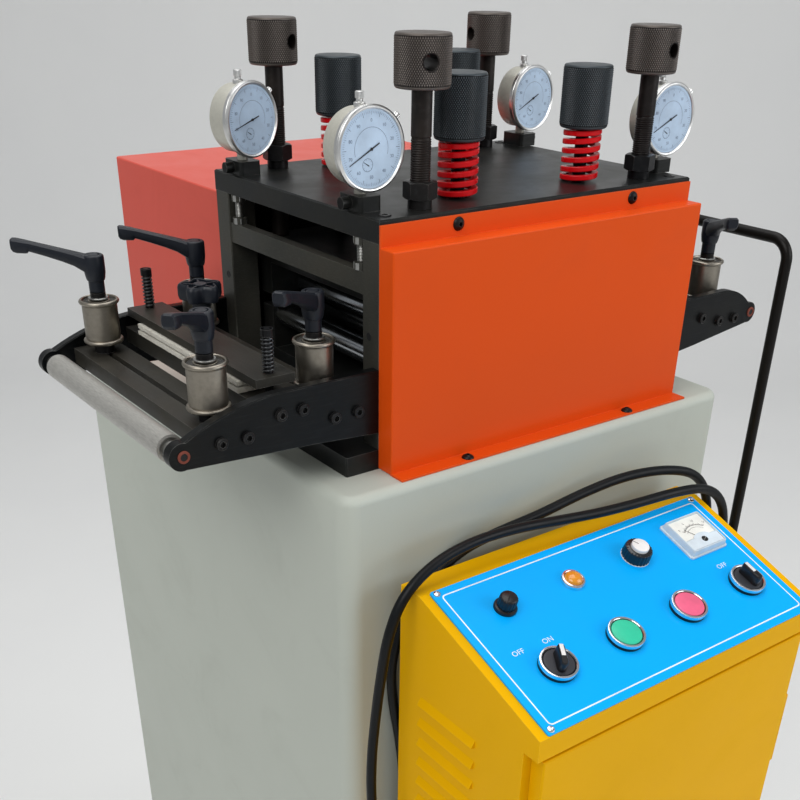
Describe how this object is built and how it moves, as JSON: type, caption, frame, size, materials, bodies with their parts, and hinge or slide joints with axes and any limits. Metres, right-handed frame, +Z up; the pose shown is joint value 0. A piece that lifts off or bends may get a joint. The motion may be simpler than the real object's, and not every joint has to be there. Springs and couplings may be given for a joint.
{
  "type": "sheet straightening machine",
  "caption": "Floor-standing roll straightener for metal strip: guided entry and exit tables, adjustable roll head on a pedestal, separate control console in front.",
  "frame": {"origin": "on the ground, at the centre of the pedestal foot", "axes": "+Z up, +X the way the strip travels, -Y the side of the operator and the console"},
  "size_m": [0.6266, 0.6423, 1.2295],
  "materials": {
    "pedestal_paint": "light grey-green satin paint",
    "black_oxide": "black oxide, satin",
    "zinc": "bright zinc plate",
    "roller_steel": "ground steel",
    "cover_orange": "orange gloss paint",
    "spring_red": "red lacquer",
    "gauge_metal": "brushed rim",
    "felt": "pressed felt",
    "hoop_black": "black gloss",
    "lever_black": "moulded, satin",
    "console_yellow": "golden yellow semi-gloss paint",
    "panel_blue": "azure satin",
    "switch_chrome": "bright ring",
    "switch_black": "moulded",
    "button_green": "moulded",
    "button_red": "moulded",
    "lamp_amber": "translucent lens",
    "cable_black": "smooth jacket"
  },
  "bodies": {
    "machine": {"pedestal": "pedestal_paint", "base_plate": "black_oxide", "corner_posts": "black_oxide", "top_plate": "black_oxide", "cross_beams": "zinc", "roll_bed": "black_oxide", "lower_rolls": "roller_steel", "front_cover": "cover_orange", "drive_cover": "cover_orange", "guide_side_plates": "black_oxide", "guide_cross_bars": "black_oxide", "roller_axles": "roller_steel", "felt_pads": "felt", "press_plate": "black_oxide", "press_screws": "zinc", "guide_posts": "black_oxide", "lock_nuts": "black_oxide", "lift_springs": "spring_red", "dial_gauges": "gauge_metal", "gauge_blocks": "black_oxide", "feeler_hoop": "hoop_black", "hoop_sockets": "hoop_black", "console_body": "console_yellow", "door_hinges": "console_yellow", "console_panel": "panel_blue", "panel_meter": "switch_black", "power_lamp": "lamp_amber", "fuse_holder": "lever_black", "switch_bezels": "switch_chrome", "cable_glands": "lever_black", "cable_1": "cable_black", "cable_2": "cable_black"},
    "roll_carriage": {"roll_carriage": "black_oxide", "upper_rolls": "roller_steel", "spring_caps": "black_oxide"},
    "adjusting_screw_1": {"adjusting_screw_1": "black_oxide"},
    "adjusting_screw_2": {"adjusting_screw_2": "black_oxide"},
    "adjusting_screw_3": {"adjusting_screw_3": "black_oxide"},
    "adjusting_screw_4": {"adjusting_screw_4": "black_oxide"},
    "entry_roller": {"entry_roller": "roller_steel"},
    "exit_roller": {"exit_roller": "roller_steel"},
    "entry_guide_roller_1": {"entry_guide_roller_1": "roller_steel"},
    "entry_guide_roller_2": {"entry_guide_roller_2": "roller_steel"},
    "entry_guide_roller_3": {"entry_guide_roller_3": "roller_steel"},
    "entry_guide_roller_4": {"entry_guide_roller_4": "roller_steel"},
    "exit_guide_roller_1": {"exit_guide_roller_1": "roller_steel"},
    "exit_guide_roller_2": {"exit_guide_roller_2": "roller_steel"},
    "entry_clamp_lever_1": {"entry_clamp_lever_1": "lever_black"},
    "entry_clamp_lever_2": {"entry_clamp_lever_2": "lever_black"},
    "entry_clamp_lever_3": {"entry_clamp_lever_3": "lever_black"},
    "entry_clamp_lever_4": {"entry_clamp_lever_4": "lever_black"},
    "exit_clamp_lever_1": {"exit_clamp_lever_1": "lever_black"},
    "exit_clamp_lever_2": {"exit_clamp_lever_2": "lever_black"},
    "star_knob": {"star_knob": "lever_black"},
    "console_door": {"console_door": "console_yellow"},
    "speed_knob": {"speed_knob": "lever_black"},
    "power_switch": {"power_switch": "switch_black"},
    "mode_switch": {"mode_switch": "switch_black"},
    "forward_button": {"forward_button": "button_green"},
    "reverse_button": {"reverse_button": "button_red"}
  },
  "joints": [
    {"name": "carriage_lift", "type": "slide", "parent": "machine", "child": "roll_carriage", "axis": [0, 0, 1], "range_m": [-0.004, 0], "deforming": ["lift_springs"]},
    {"name": "adjusting_screw_1_turn", "type": "hinge", "parent": "roll_carriage", "child": "adjusting_screw_1", "pos_m": [-0.099, -0.182, 1.15], "axis": [0, 0, 1], "range_deg": [-720, 0]},
    {"name": "adjusting_screw_2_turn", "type": "hinge", "parent": "roll_carriage", "child": "adjusting_screw_2", "pos_m": [-0.099, 0.006, 1.15], "axis": [0, 0, 1], "range_deg": [-720, 0]},
    {"name": "adjusting_screw_3_turn", "type": "hinge", "parent": "roll_carriage", "child": "adjusting_screw_3", "pos_m": [0.115, -0.182, 1.15], "axis": [0, 0, 1], "range_deg": [-720, 0]},
    {"name": "adjusting_screw_4_turn", "type": "hinge", "parent": "roll_carriage", "child": "adjusting_screw_4", "pos_m": [0.115, 0.006, 1.15], "axis": [0, 0, 1], "range_deg": [-720, 0]},
    {"name": "entry_roller_spin", "type": "hinge", "parent": "machine", "child": "entry_roller", "pos_m": [-0.299, -0.0865, 0.9965], "axis": [0, 1, 0], "continuous": true},
    {"name": "exit_roller_spin", "type": "hinge", "parent": "machine", "child": "exit_roller", "pos_m": [0.262, -0.0865, 1], "axis": [0, 1, 0], "continuous": true},
    {"name": "entry_guide_roller_1_spin", "type": "hinge", "parent": "machine", "child": "entry_guide_roller_1", "pos_m": [-0.264, -0.0001, 1.03], "axis": [0, 0, 1], "continuous": true},
    {"name": "entry_guide_roller_2_spin", "type": "hinge", "parent": "machine", "child": "entry_guide_roller_2", "pos_m": [-0.264, -0.1729, 1.03], "axis": [0, 0, 1], "continuous": true},
    {"name": "entry_guide_roller_3_spin", "type": "hinge", "parent": "machine", "child": "entry_guide_roller_3", "pos_m": [-0.181, -0.0001, 1.03], "axis": [0, 0, 1], "continuous": true},
    {"name": "entry_guide_roller_4_spin", "type": "hinge", "parent": "machine", "child": "entry_guide_roller_4", "pos_m": [-0.181, -0.1729, 1.03], "axis": [0, 0, 1], "continuous": true},
    {"name": "exit_guide_roller_1_spin", "type": "hinge", "parent": "machine", "child": "exit_guide_roller_1", "pos_m": [0.227, -0.1729, 1.03], "axis": [0, 0, 1], "continuous": true},
    {"name": "exit_guide_roller_2_spin", "type": "hinge", "parent": "machine", "child": "exit_guide_roller_2", "pos_m": [0.227, -0.0001, 1.03], "axis": [0, 0, 1], "continuous": true},
    {"name": "entry_clamp_lever_1_turn", "type": "hinge", "parent": "machine", "child": "entry_clamp_lever_1", "pos_m": [-0.264, -0.0001, 1.065], "axis": [0, 0, 1], "range_deg": [-45, 45]},
    {"name": "entry_clamp_lever_2_turn", "type": "hinge", "parent": "machine", "child": "entry_clamp_lever_2", "pos_m": [-0.264, -0.1729, 1.065], "axis": [0, 0, 1], "range_deg": [-45, 45]},
    {"name": "entry_clamp_lever_3_turn", "type": "hinge", "parent": "machine", "child": "entry_clamp_lever_3", "pos_m": [-0.181, -0.0001, 1.065], "axis": [0, 0, 1], "range_deg": [-45, 45]},
    {"name": "entry_clamp_lever_4_turn", "type": "hinge", "parent": "machine", "child": "entry_clamp_lever_4", "pos_m": [-0.181, -0.1729, 1.065], "axis": [0, 0, 1], "range_deg": [-45, 45]},
    {"name": "exit_clamp_lever_1_turn", "type": "hinge", "parent": "machine", "child": "exit_clamp_lever_1", "pos_m": [0.227, -0.1729, 1.065], "axis": [0, 0, 1], "range_deg": [-45, 45]},
    {"name": "exit_clamp_lever_2_turn", "type": "hinge", "parent": "machine", "child": "exit_clamp_lever_2", "pos_m": [0.227, -0.0001, 1.065], "axis": [0, 0, 1], "range_deg": [-45, 45]},
    {"name": "star_knob_turn", "type": "hinge", "parent": "machine", "child": "star_knob", "pos_m": [-0.221, -0.0865, 1.058], "axis": [0, 0, 1], "range_deg": [-180, 180]},
    {"name": "console_door_swing", "type": "hinge", "parent": "machine", "child": "console_door", "pos_m": [0.1335, -0.39585, 0.44], "axis": [0, 0, 1], "range_deg": [0, 110]},
    {"name": "speed_knob_turn", "type": "hinge", "parent": "machine", "child": "speed_knob", "pos_m": [0.026, -0.30705, 0.87083], "axis": [0, -0.3264, 0.9452], "range_deg": [-150, 150]},
    {"name": "power_switch_turn", "type": "hinge", "parent": "machine", "child": "power_switch", "pos_m": [-0.109, -0.36376, 0.85125], "axis": [0, -0.3264, 0.9452], "range_deg": [0, 60]},
    {"name": "mode_switch_turn", "type": "hinge", "parent": "machine", "child": "mode_switch", "pos_m": [0.095, -0.36376, 0.85125], "axis": [0, -0.3264, 0.9452], "range_deg": [-45, 45]},
    {"name": "forward_button_press", "type": "slide", "parent": "machine", "child": "forward_button", "axis": [0, -0.3264, 0.9452], "range_m": [-0.003, 0], "stiffness_N_per_m": 300, "springref_m": 0.002},
    {"name": "reverse_button_press", "type": "slide", "parent": "machine", "child": "reverse_button", "axis": [0, -0.3264, 0.9452], "range_m": [-0.003, 0], "stiffness_N_per_m": 300, "springref_m": 0.002}
  ],
  "couplings": [
    {"joint": "adjusting_screw_1_turn", "follows": "carriage_lift", "rad_per_m": 3141.6},
    {"joint": "adjusting_screw_2_turn", "follows": "carriage_lift", "rad_per_m": 3141.6},
    {"joint": "adjusting_screw_3_turn", "follows": "carriage_lift", "rad_per_m": 3141.6},
    {"joint": "adjusting_screw_4_turn", "follows": "carriage_lift", "rad_per_m": 3141.6}
  ]
}
